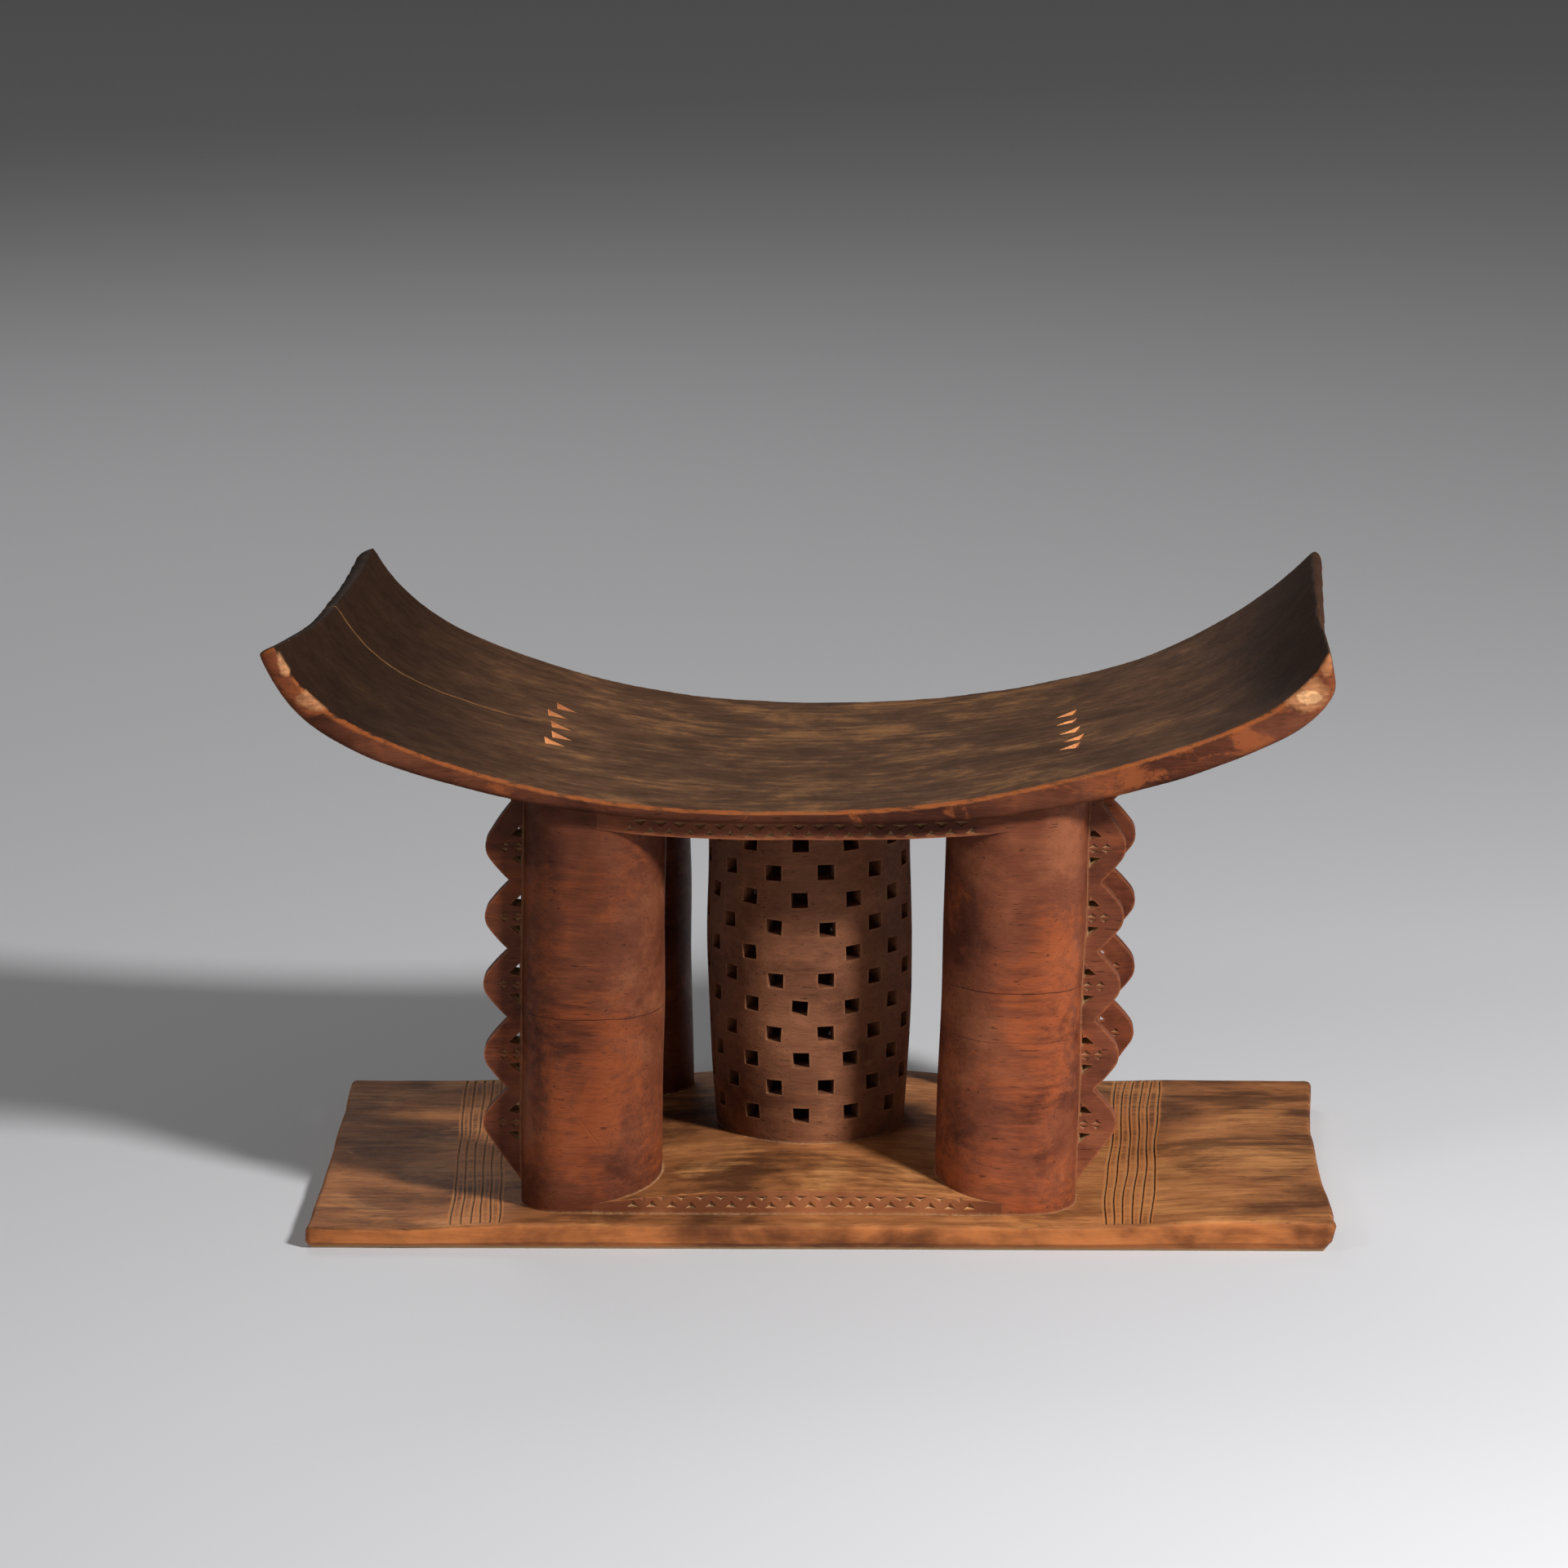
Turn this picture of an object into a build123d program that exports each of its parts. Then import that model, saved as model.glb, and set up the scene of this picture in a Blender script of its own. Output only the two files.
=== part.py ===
from build123d import *
import math
import os
import random

# A low carved seat of the Asante kind: a flat slab on the floor, a raised plinth, four posts with a
# lobed fin on the outer side of each, a pierced hollow drum in the middle, and a seat that sweeps up
# at both ends. It is carved by hand, so left and right, front and back differ a little.
# Frame: origin on the floor under the middle, +X along the seat, +Y to the back, +Z up. Millimetres.

# Overall
SEAT_LENGTH = 612.0  # between the outer edges of the two ends
SEAT_DEPTH = 271.0
OVERALL_HEIGHT = 350.0
SLAB_LENGTH = 588.0
TRUNK_INSET = 10.9  # from the seat's front and back edges in to the faces of the posts
SLAB_MARGIN = 21.4  # from the faces of the posts out to the slab's front and back edges

# Slab
SLAB_THICKNESS = 15.0
SLAB_SHIFT = 10.0  # the slab's middle stands this far along +X
SLAB_LEFT_SETBACK = 3.0  # the back left corner stands in from the front left one
SLAB_HOLLOW_LEFT = 1.5  # how far each end curves in at its middle
SLAB_HOLLOW_RIGHT = 5.5
SLAB_CORNER_ROUND = 4.0
SLAB_TOP_ROUND = 3.0
SLAB_UNDER_RISE = 4.5  # bevel under the edge: its height and its width
SLAB_UNDER_WIDTH = 3.0
GROOVES = 6  # engraved lines across the slab, beside each end of the plinth
GROOVE_WIDTH = 1.4
GROOVE_DEPTH = 0.9
GROOVE_PITCH = 5.3
GROOVE_WANDER = 0.5
GROOVE_BENDS = 5  # places where a line may wander
GROOVE_STOP = 0.8  # a line ends this far inside the rounded edge
LEFT_GROOVES_FRONT = -174.0  # the line nearest to the plinth, at the slab's front and back edges
LEFT_GROOVES_BACK = -184.0
RIGHT_GROOVES_FRONT = 171.0
RIGHT_GROOVES_BACK = 185.0

# Posts
POST_WIDTH = 80.5
POST_DEPTH = 72.0
POST_OUTER_ROUND = 0.375  # radius of the two outer corners, as a share of the post's depth
POST_INNER_ROUND = 0.53  # of the inner corner on the front or back face
POST_BACK_ROUND = 0.415  # of the inner corner that looks to the other posts
FRONT_LEFT_X = -123.2  # middle of each post's foot
FRONT_RIGHT_X = 115.0
REAR_LEFT_X = -110.0
REAR_RIGHT_X = 131.6
FRONT_LEFT_LEAN = 4.8  # how far each post's top stands along +X from its foot
FRONT_RIGHT_LEAN = 6.3
REAR_LEFT_LEAN = -2.0
REAR_RIGHT_LEAN = 0.7

# Plinth and the block under the seat
TRUNK_LEAN = 3.0
TRUNK_SIDE_INSET = 10.0  # from the outer faces of the posts in to their left and right sides
PLINTH_RIM = 14.0  # height of the plinth's front and back faces
PLINTH_DOME_RADIUS = 900.0
BLOCK_HEIGHT = 11.0

# Seat
SEAT_DIP = 95.7  # from the tips down to the lowest line of the top
SEAT_THICKNESS = 8.0  # at the middle
SEAT_UNDER_ROUND = 4.0  # along the front and back edges
SEAT_TOP_ROUND = 1.5
END_HOLLOWS = (4.0, 2.5)  # how far the left and the right end curve in at their middle
END_SAGS = (8.0, 4.0)  # and how far they sag there
BACK_LEFT_SETBACK = 34.5  # the back left corner stands in from the front left one
FRONT_RIGHT_SETBACK = 7.5
END_DROPS = {"front": (5.0, 24.0), "back": (5.0, 7.0)}  # height of each corner's end face
LIPS = {"front": (10.5, 4.0), "back": (11.0, 5.0)}  # how far its top edge stands in from its bottom
# The sweep of each half, left and right: the share of its rise that is one even bow, the power of
# that bow, and the power of the last sharp turn upwards
TOP_BOWS = {"front": ((0.74, 2.4, 18), (0.73, 1.85, 17)), "back": ((0.70, 2, 12), (0.53, 2, 4.7))}
UNDER_BOWS = {"front": ((0.65, 2.4, 17), (0.80, 2.5, 36)), "back": ((0.70, 2, 12), (0.55, 2, 12))}
SWEEP_POINTS = 8  # points on each half of a sweep, closer together towards its end
SEAT_FIT = 0.003  # the pieces under the seat stop this far below it, so that none bites into it
NICKS = (  # two rows of slanting chisel nicks in the top
    (-146.2, 37.7),
    (-147.6, 20.6),
    (-142.0, -4.7),
    (-143.6, -23.1),
    (-146.0, -37.9),
    (153.2, 27.2),
    (153.2, 7.0),
    (152.6, -16.1),
    (155.2, -35.1),
    (153.2, -51.4),
)
NICK_RUN = 11.6  # of a nick's long edge, along the seat
NICK_SLANT = 13.0  # of the same edge, across the seat
NICK_WIDTH = 3.6  # how far the third corner stands off the long edge, both ways
NICK_DEPTH = 1.8

# Drum
DRUM_X = 1.5
DRUM_TOP_RADIUS = 57.0
DRUM_BELLY_RADIUS = 59.5
DRUM_FOOT_RADIUS = 53.5
DRUM_BELLY_HEIGHT = 140.0
DRUM_WALL = 7.5
HOLE_COLUMNS = 24
HOLE_FIRST_ANGLE = -94.5
HOLE_WIDTH = 9.6
HOLE_HEIGHT = 8.8
HOLE_PITCH = 32.2
HOLE_FIRST_HEIGHT = 54.0
HOLE_END_MARGIN = 12.0  # bare wood above the last hole of a column
HOLE_WANDER = 0.8
HOLE_TILT = 4.0

# Fins
FIN_THICKNESS = 9.0
FIN_INSET = 29.6  # from the trunk's front or back face to the fin's middle
FIN_SINK = 6.0  # how far a fin's blank runs into its post before it is fitted
LOBES = 5
LOBE_PITCH = 40.8
LOBE_FIRST_HEIGHT = 62.0
LOBE_REACH = 21.9
LOBE_NOSE_HALF = 7.5
LOBE_NOSE_DROP = 2.6
LOBE_FLANK_BULGE = 0.3
VALLEY_REACH = 7.6
LAST_LOBE_RISE = 25.0  # from the middle of the topmost lobe to the end of its upper flank
FIN_FOOT_HEIGHT = 27.0
# The cuts in a lobe, as distances out from the post and up from the lobe's middle: the mouths and
# deepest points of the pit that breaks through the fin and of the blind pit under it
PIERCED_MOUTH = ((0.9, 12.8), (8.0, 6.4), (0.9, 5.0))
PIERCED_TIP = (2.2, 8.5)
PIERCED_DEPTH = 13.0
BLIND_MOUTH = ((0.9, -5.4), (8.0, -6.0), (0.9, -11.6))
BLIND_TIP = (2.6, -7.6)
BLIND_DEPTH = 7.5
NOTCH_REACHES = (3.4, 10.6)  # pairs of notches between the two pits, base to base
NOTCH_HALF_WIDTH = 2.9
NOTCH_ABOVE = (0.0, 2.9)  # base and point of the upper and of the lower notch of a pair
NOTCH_BELOW = (-1.0, -3.7)
NOTCH_DEPTH = 1.6

# Chip-carved zigzag
ZIGZAG_START = -98.0
ZIGZAG_PITCH = 11.35
ZIGZAG_TEETH = 18
TOOTH_WIDTH = 6.8
TOOTH_RISE = 4.0
GAP_WIDTH = 8.4
GAP_RISE = 3.2
ZIGZAG_RIDGE = -0.2  # clear height left between the two rows
ZIGZAG_BASE = 3.9  # from the slab, or from the block's lower edge, to the lower row
ZIGZAG_BLOCK_BASE = 1.6
CHIP_DEPTH = 2.4
CHIP_OVERRUN = 1.35  # a chip's mouth is carried this much wider, past the face that it is cut in
CHIP_WANDER = 0.35

CUTTER_SPARE = 30.0  # how far a cutter runs on above the whole piece

# Worked out
HALF_LENGTH = SEAT_LENGTH / 2
HALF_DEPTH = SEAT_DEPTH / 2
HALF_TRUNK = HALF_DEPTH - TRUNK_INSET
HALF_SLAB = HALF_TRUNK + SLAB_MARGIN
SEAT_LOW = OVERALL_HEIGHT - SEAT_DIP
UNDER_LOW = SEAT_LOW - SEAT_THICKNESS
TIPS = (OVERALL_HEIGHT, OVERALL_HEIGHT)
ABOVE_ALL = OVERALL_HEIGHT + CUTTER_SPARE
UNDER_REACH = {
    "front": (HALF_LENGTH, HALF_LENGTH - FRONT_RIGHT_SETBACK),
    "back": (HALF_LENGTH - BACK_LEFT_SETBACK, HALF_LENGTH),
}
POSTS = {  # middle of the foot, lean, which way is outward along X and towards the face along Y
    "front_left": (FRONT_LEFT_X, FRONT_LEFT_LEAN, -1, -1),
    "front_right": (FRONT_RIGHT_X, FRONT_RIGHT_LEAN, 1, -1),
    "rear_left": (REAR_LEFT_X, REAR_LEFT_LEAN, -1, 1),
    "rear_right": (REAR_RIGHT_X, REAR_RIGHT_LEAN, 1, 1),
}
LOBE_HEIGHTS = [LOBE_FIRST_HEIGHT + lobe * LOBE_PITCH for lobe in range(LOBES)]
LOBE_SHOULDER = LOBE_REACH - LOBE_NOSE_DROP

hand = random.Random(5)


def wander(size):
    """A small error of the carver's hand."""
    return hand.uniform(-size, size)


def middle(first, second):
    return (first + second) / 2


def lean_at(z, lean):
    """How far a leaning piece has moved along +X at a height; lean is its move over the posts' height."""
    return lean * (z - SLAB_THICKNESS) / (UNDER_LOW - SLAB_THICKNESS)


def sweep_height(x, reaches, bows, low, tips):
    """Height at x of a curve that rises from low to its two tips, left and right."""
    side = 0 if x < 0 else 1
    share = abs(x) / reaches[side]
    bow, bow_power, turn_power = bows[side]
    return low + (tips[side] - low) * (bow * share**bow_power + (1 - bow) * share**turn_power)


def sweep_points(reaches, bows, low, tips, y):
    points = []
    for side, sign in ((0, -1), (1, 1)):
        steps = range(SWEEP_POINTS, -1, -1) if side == 0 else range(1, SWEEP_POINTS + 1)
        for step in steps:
            x = sign * reaches[side] * math.sin(step / SWEEP_POINTS * math.pi / 2)
            points.append((x, y, sweep_height(x, reaches, bows, low, tips)))
    return points


def less(values, amounts):
    return tuple(value - amount for value, amount in zip(values, amounts))


def blend(front, back):
    """The values half-way between the front's and the back's."""
    return tuple(middle(a, b) for a, b in zip(front, back))


def with_middle(reaches, bows, low, tips):
    """A surface's curves at the front, the middle and the back, from its values at front and back."""
    between = less(blend(reaches["front"], reaches["back"]), END_HOLLOWS)
    bows_between = tuple(blend(f, b) for f, b in zip(bows["front"], bows["back"]))
    tips_between = less(blend(tips["front"], tips["back"]), END_SAGS)
    return (
        (reaches["front"], bows["front"], low, tips["front"], -HALF_DEPTH),
        (between, bows_between, low, tips_between, 0.0),
        (reaches["back"], bows["back"], low, tips["back"], HALF_DEPTH),
    )


def top_curves():
    """The curves of the seat's top."""
    reaches = {end: less(UNDER_REACH[end], LIPS[end]) for end in LIPS}
    return with_middle(reaches, TOP_BOWS, SEAT_LOW, {end: TIPS for end in LIPS})


def under_curves(drop=0.0):
    """The curves of the seat's underside, or of a surface that lies drop below it."""
    tips = {end: less(less(TIPS, END_DROPS[end]), (drop, drop)) for end in END_DROPS}
    return with_middle(UNDER_REACH, UNDER_BOWS, UNDER_LOW - drop, tips)


def lofted(outlines):
    return loft([make_face(outline) for outline in outlines])


def space_above(curves):
    """Everything above the surface that runs through three curves."""
    outlines = []
    for curve in curves:
        points = sweep_points(*curve)
        (left, y, _), (right, _, _) = points[0], points[-1]
        rim = Polyline(points[-1], (right, y, ABOVE_ALL), (left, y, ABOVE_ALL), points[0])
        outlines.append([Spline(*points), rim])
    return lofted(outlines)


def surface_height(curves, x, y):
    """Height of the surface through three curves, at a point in plan."""
    front, mid, back = (sweep_height(x, *curve[:4]) for curve in curves)
    t = y / HALF_DEPTH
    return mid + t * (back - front) / 2 + t * t * middle(front - mid, back - mid)


def chip(corners, tip):
    """A three-sided chip, as a knife lifts it, from the corners of its mouth and its deepest point."""
    tip = Vector(*tip)
    mouth = [tip + (Vector(*corner) - tip) * CHIP_OVERRUN for corner in corners]
    return Solid.make_loft([Wire.make_polygon(mouth, close=True), Vertex(tip)])


def chip_in_face(corners, y, side, depth):
    """A chip in a face across Y, from (x, z) corners; side is -1 for a front face, 1 for a back one."""
    x = sum(corner[0] for corner in corners) / 3
    z = sum(corner[1] for corner in corners) / 3
    return chip([(cx, y, cz) for cx, cz in corners], (x, y - side * depth, z))


def zigzag(y, side, floor):
    """Two rows of chips that leave a zigzag ridge standing; floor(x) is where the lower row's base lies."""
    chips = []
    for tooth in range(ZIGZAG_TEETH):
        x = ZIGZAG_START + tooth * ZIGZAG_PITCH + wander(CHIP_WANDER)
        base = floor(x) + wander(CHIP_WANDER)
        half = TOOTH_WIDTH / 2
        foot = [(x - half, base), (x + half, base), (x, base + TOOTH_RISE)]
        chips.append(chip_in_face(foot, y, side, CHIP_DEPTH))
        if tooth < ZIGZAG_TEETH - 1:
            x += ZIGZAG_PITCH / 2
            half = GAP_WIDTH / 2
            crest = floor(x) + TOOTH_RISE + ZIGZAG_RIDGE + GAP_RISE
            head = [(x - half, crest), (x, crest - GAP_RISE), (x + half, crest)]
            chips.append(chip_in_face(head, y, side, CHIP_DEPTH))
    return chips


# Slab


def slab_outline():
    left, right = SLAB_SHIFT - SLAB_LENGTH / 2, SLAB_SHIFT + SLAB_LENGTH / 2
    left_back = left + SLAB_LEFT_SETBACK
    left_middle = middle(left, left_back) + SLAB_HOLLOW_LEFT
    edges = [
        Line((left, -HALF_SLAB), (right, -HALF_SLAB)),
        ThreePointArc((right, -HALF_SLAB), (right - SLAB_HOLLOW_RIGHT, 0), (right, HALF_SLAB)),
        Line((right, HALF_SLAB), (left_back, HALF_SLAB)),
        ThreePointArc((left_back, HALF_SLAB), (left_middle, 0), (left, -HALF_SLAB)),
    ]
    return make_face(edges)


def groove(front_x, back_x):
    """One engraved line across the slab: a three-cornered cutter swept along a wandering line."""
    reach = HALF_SLAB - SLAB_TOP_ROUND - GROOVE_STOP
    points = []
    for bend in range(GROOVE_BENDS):
        share = bend / (GROOVE_BENDS - 1)
        x = front_x + (back_x - front_x) * share + wander(GROOVE_WANDER)
        points.append((x, (2 * share - 1) * reach, SLAB_THICKNESS))
    path = Spline(*points)
    plane = Plane(origin=path @ 0, x_dir=(1, 0, 0), z_dir=path % 0)
    section = plane * make_face(
        Polyline(
            (-GROOVE_WIDTH, GROOVE_DEPTH),
            (0, -GROOVE_DEPTH),
            (GROOVE_WIDTH, GROOVE_DEPTH),
            close=True,
        )
    )
    return sweep(section, path=path)


def base_slab():
    slab = extrude(slab_outline(), SLAB_THICKNESS)
    slab = fillet(slab.edges().filter_by(Axis.Z), SLAB_CORNER_ROUND)
    slab = fillet(slab.faces().sort_by(Axis.Z)[-1].edges(), SLAB_TOP_ROUND)
    under = slab.faces().sort_by(Axis.Z)[0]
    slab = chamfer(under.edges(), SLAB_UNDER_WIDTH, SLAB_UNDER_RISE, reference=under)
    cuts = []
    for line in range(GROOVES):
        out = line * GROOVE_PITCH
        cuts.append(groove(LEFT_GROOVES_FRONT - out, LEFT_GROOVES_BACK - out))
        cuts.append(groove(RIGHT_GROOVES_FRONT + out, RIGHT_GROOVES_BACK + out))
    return slab - cuts


# Posts


def leaning_prism(outline, lean):
    """A prism that leans, from the slab to above the seat."""
    slope = Vector(lean_at(ABOVE_ALL, lean), 0, ABOVE_ALL - SLAB_THICKNESS)
    section = Pos(0, 0, SLAB_THICKNESS) * make_face(outline)
    return extrude(section, amount=slope.length, dir=slope)


def post_blank(x, lean, outward, frontward):
    out, inn = x + outward * POST_WIDTH / 2, x - outward * POST_WIDTH / 2
    face = frontward * HALF_TRUNK
    rear = face - frontward * POST_DEPTH
    rounds = (POST_OUTER_ROUND, POST_INNER_ROUND, POST_BACK_ROUND, POST_OUTER_ROUND)
    outline = FilletPolyline(
        (out, face),
        (inn, face),
        (inn, rear),
        (out, rear),
        radius=[POST_DEPTH * share for share in rounds],
        close=True,
    )
    return leaning_prism(outline, lean)


# Plinth and upper block


def trunk_blank():
    """The blank of the plinth and of the block under the seat.

    Its front and back faces are flush with the posts, and its corners lie inside them.
    """
    corners = []
    for name in ("front_left", "front_right", "rear_right", "rear_left"):
        x, _, outward, frontward = POSTS[name]
        flat = x + outward * POST_DEPTH * middle(POST_INNER_ROUND, -POST_OUTER_ROUND)
        side = x + outward * (POST_WIDTH / 2 - TRUNK_SIDE_INSET)
        ends = [(side, frontward * (HALF_TRUNK - POST_DEPTH / 2)), (flat, frontward * HALF_TRUNK)]
        corners += ends if outward == frontward else reversed(ends)
    return leaning_prism(Polyline(*corners, close=True), TRUNK_LEAN)


def dome_height():
    """Height of the dome's crown above the floor; its rim meets the front and back faces at PLINTH_RIM."""
    drop = PLINTH_DOME_RADIUS - math.sqrt(PLINTH_DOME_RADIUS**2 - HALF_TRUNK**2)
    return SLAB_THICKNESS + PLINTH_RIM + drop


def plinth_blank(trunk):
    return trunk & Pos(0, 0, dome_height() - PLINTH_DOME_RADIUS) * Sphere(PLINTH_DOME_RADIUS)


def plinth(blank, posts):
    body = blank - posts
    for side in (-1, 1):
        body -= zigzag(side * HALF_TRUNK, side, lambda x: SLAB_THICKNESS + ZIGZAG_BASE)
    return body


def upper_block(trunk, seat_room, block_room, posts):
    body = (trunk & block_room) - seat_room - posts
    lower = under_curves(BLOCK_HEIGHT)
    for side in (-1, 1):
        face = side * HALF_TRUNK
        body -= zigzag(face, side, lambda x: surface_height(lower, x, face) + ZIGZAG_BLOCK_BASE)
    return body


# Drum


def drum_holes():
    """Columns of small windows all round, with every other column half a pitch higher."""
    holes = []
    for column in range(HOLE_COLUMNS):
        turn = HOLE_FIRST_ANGLE + column * 360 / HOLE_COLUMNS
        z = HOLE_FIRST_HEIGHT + (column % 2) * HOLE_PITCH / 2
        while z < UNDER_LOW - BLOCK_HEIGHT - HOLE_END_MARGIN:
            bearing = Rot(0, 0, turn + wander(HOLE_WANDER))
            place = Pos(DRUM_BELLY_RADIUS - DRUM_WALL / 2, 0, z + wander(HOLE_WANDER))
            cutter = Box(3 * DRUM_WALL, HOLE_WIDTH, HOLE_HEIGHT)
            holes.append(bearing * place * Rot(wander(HOLE_TILT), 0, 0) * cutter)
            z += HOLE_PITCH
    return holes


def central_drum(plinth_body, block_room):
    foot, head = SLAB_THICKNESS, UNDER_LOW
    outer = ThreePointArc(
        (DRUM_FOOT_RADIUS, foot),
        (DRUM_BELLY_RADIUS, DRUM_BELLY_HEIGHT),
        (DRUM_TOP_RADIUS, head),
    )
    inner = Polyline(
        (DRUM_TOP_RADIUS, head),
        (DRUM_TOP_RADIUS - DRUM_WALL, head),
        (DRUM_FOOT_RADIUS - DRUM_WALL, foot),
        (DRUM_FOOT_RADIUS, foot),
    )
    wall = revolve(Plane.XZ * make_face([outer, inner]), Axis.Z)
    return Pos(DRUM_X, 0, 0) * (wall - drum_holes()) - plinth_body - block_room


# Fins


def flank(at, z, up, rise):
    """The side of a lobe, from its shoulder to the valley that lies rise above it or below it."""
    out = middle(LOBE_SHOULDER, VALLEY_REACH) + LOBE_FLANK_BULGE
    half_way = middle(LOBE_NOSE_HALF, rise) + LOBE_FLANK_BULGE
    shoulder, valley = at(LOBE_SHOULDER, z + up * LOBE_NOSE_HALF), at(VALLEY_REACH, z + up * rise)
    return ThreePointArc(shoulder, at(out, z + up * half_way), valley)


def fin_outline(at):
    """A slanting foot, the lobes, and a straight back that stands inside the post."""
    first, last = LOBE_HEIGHTS[0], LOBE_HEIGHTS[-1]
    edges = [Line(at(0, FIN_FOOT_HEIGHT), at(LOBE_SHOULDER, first - LOBE_NOSE_HALF))]
    for z in LOBE_HEIGHTS:
        if z > first:
            edges.append(flank(at, z, -1, LOBE_PITCH / 2))
        low, high = z - LOBE_NOSE_HALF, z + LOBE_NOSE_HALF
        edges.append(ThreePointArc(at(LOBE_SHOULDER, low), at(LOBE_REACH, z), at(LOBE_SHOULDER, high)))
        edges.append(flank(at, z, 1, LOBE_PITCH / 2 if z < last else LAST_LOBE_RISE))
    edges.append(
        Polyline(
            at(VALLEY_REACH, last + LAST_LOBE_RISE),
            at(VALLEY_REACH, ABOVE_ALL),
            at(-FIN_SINK, ABOVE_ALL),
            at(-FIN_SINK, FIN_FOOT_HEIGHT),
            at(0, FIN_FOOT_HEIGHT),
        )
    )
    return make_face(edges)


def fin_pits(at, y, frontward):
    """The two three-cornered pits of each lobe, beside the post, cut from the fin's outer face."""
    face = y + frontward * FIN_THICKNESS / 2
    pits = []
    for z in LOBE_HEIGHTS:
        for mouth, (tip_out, tip_up), depth in (
            (PIERCED_MOUTH, PIERCED_TIP, PIERCED_DEPTH),
            (BLIND_MOUTH, BLIND_TIP, BLIND_DEPTH),
        ):
            corners = [(x, face, cz) for x, _, cz in (at(out, z + up) for out, up in mouth)]
            tip_x, _, tip_z = at(tip_out, z + tip_up)
            pits.append(chip(corners, (tip_x, face - frontward * depth, tip_z)))
    return pits


def fin_notches(at, y):
    """Two pairs of three-cornered notches between the pits of each lobe, on both faces of the fin."""
    notches = []
    for z in LOBE_HEIGHTS:
        for out in NOTCH_REACHES:
            near, far = out - NOTCH_HALF_WIDTH, out + NOTCH_HALF_WIDTH
            for base, point in (NOTCH_ABOVE, NOTCH_BELOW):
                places = [at(near, z + base), at(far, z + base), at(out, z + point)]
                corners = [(x, cz) for x, _, cz in places]
                for side in (-1, 1):
                    face = y + side * FIN_THICKNESS / 2
                    notches.append(chip_in_face(corners, face, side, NOTCH_DEPTH))
    return notches


def fin(x, lean, outward, frontward, post, seat_room):
    """A lobed plate, fitted to its post and to the seat's underside."""
    y = frontward * (HALF_TRUNK - FIN_INSET)

    def at(out, z):
        return (x + outward * (POST_WIDTH / 2 + out) + lean_at(z, lean), y, z)

    plate = extrude(fin_outline(at), FIN_THICKNESS / 2, both=True)
    return plate - post - seat_room - fin_pits(at, y, frontward) - fin_notches(at, y)


# Seat


def seat_nicks():
    """The nicks in the top of the seat; those at the two ends slant against each other."""
    surface = top_curves()
    nicks = []
    for x, y in NICKS:
        run = math.copysign(NICK_RUN / 2, -x)
        back, front = (x - run, y + NICK_SLANT / 2), (x + run, y - NICK_SLANT / 2)
        third = (x - math.copysign(NICK_WIDTH, run), y - NICK_WIDTH)
        corners = [(px, py, surface_height(surface, px, py)) for px, py in (back, front, third)]
        deep_x, deep_y = middle(x, third[0]), middle(y, third[1])
        nicks.append(chip(corners, (deep_x, deep_y, surface_height(surface, deep_x, deep_y) - NICK_DEPTH)))
    return nicks


def rounded_along(board, end):
    """The board with the two long edges of its front face (0) or back face (-1) rounded."""
    face = board.faces().sort_by(Axis.Y)[end]
    under_edge, top_edge = (
        edge for edge in face.edges().sort_by(Axis.Z) if edge.length > SEAT_DEPTH
    )
    board = fillet(under_edge, SEAT_UNDER_ROUND)
    return fillet(board.edges().sort_by_distance(top_edge.center())[0], SEAT_TOP_ROUND)


def seat():
    outlines = []
    for upper, lower in zip(top_curves(), under_curves()):
        top, bottom = sweep_points(*upper), sweep_points(*lower)
        left_end, right_end = Line(bottom[0], top[0]), Line(top[-1], bottom[-1])
        outlines.append([Spline(*top), right_end, Spline(*bottom), left_end])
    board = lofted(outlines)
    for end in (0, -1):
        board = rounded_along(board, end)
    return board - seat_nicks()


# Everything, from the floor up

os.makedirs("parts", exist_ok=True)
seat_room = space_above(under_curves(SEAT_FIT))
block_room = space_above(under_curves(BLOCK_HEIGHT))
post_blanks = {name: post_blank(*place) for name, place in POSTS.items()}
posts = {name: blank - seat_room for name, blank in post_blanks.items()}
post_bodies = list(posts.values())
trunk = trunk_blank()
plinth_body = plinth_blank(trunk)
pieces = {
    "base_slab": base_slab(),
    "plinth": plinth(plinth_body, post_bodies),
    "central_drum": central_drum(plinth_body, block_room),
    "upper_block": upper_block(trunk, seat_room, block_room, post_bodies),
    "seat": seat(),
}
for name, place in POSTS.items():
    pieces[name + "_post"] = posts[name]
    pieces[name + "_fin"] = fin(*place, post_blanks[name], seat_room)
for name, piece in pieces.items():
    export_step(piece, f"parts/{name}.step")
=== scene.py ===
import math

import bmesh
import bpy
import numpy as np
from mathutils import Matrix, Vector
from mathutils.bvhtree import BVHTree


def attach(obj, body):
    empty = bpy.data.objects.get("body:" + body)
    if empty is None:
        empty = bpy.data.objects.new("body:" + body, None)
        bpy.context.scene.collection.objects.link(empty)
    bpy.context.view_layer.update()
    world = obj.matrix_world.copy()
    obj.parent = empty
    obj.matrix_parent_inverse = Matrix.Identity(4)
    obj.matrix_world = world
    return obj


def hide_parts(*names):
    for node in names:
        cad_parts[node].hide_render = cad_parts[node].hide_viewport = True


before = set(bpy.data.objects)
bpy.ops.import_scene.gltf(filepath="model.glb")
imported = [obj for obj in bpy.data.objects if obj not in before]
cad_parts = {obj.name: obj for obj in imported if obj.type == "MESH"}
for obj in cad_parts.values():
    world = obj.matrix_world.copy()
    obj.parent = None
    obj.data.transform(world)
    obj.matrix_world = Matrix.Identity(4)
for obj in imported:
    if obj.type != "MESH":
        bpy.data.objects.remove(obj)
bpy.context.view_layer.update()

MM = 0.001

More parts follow.
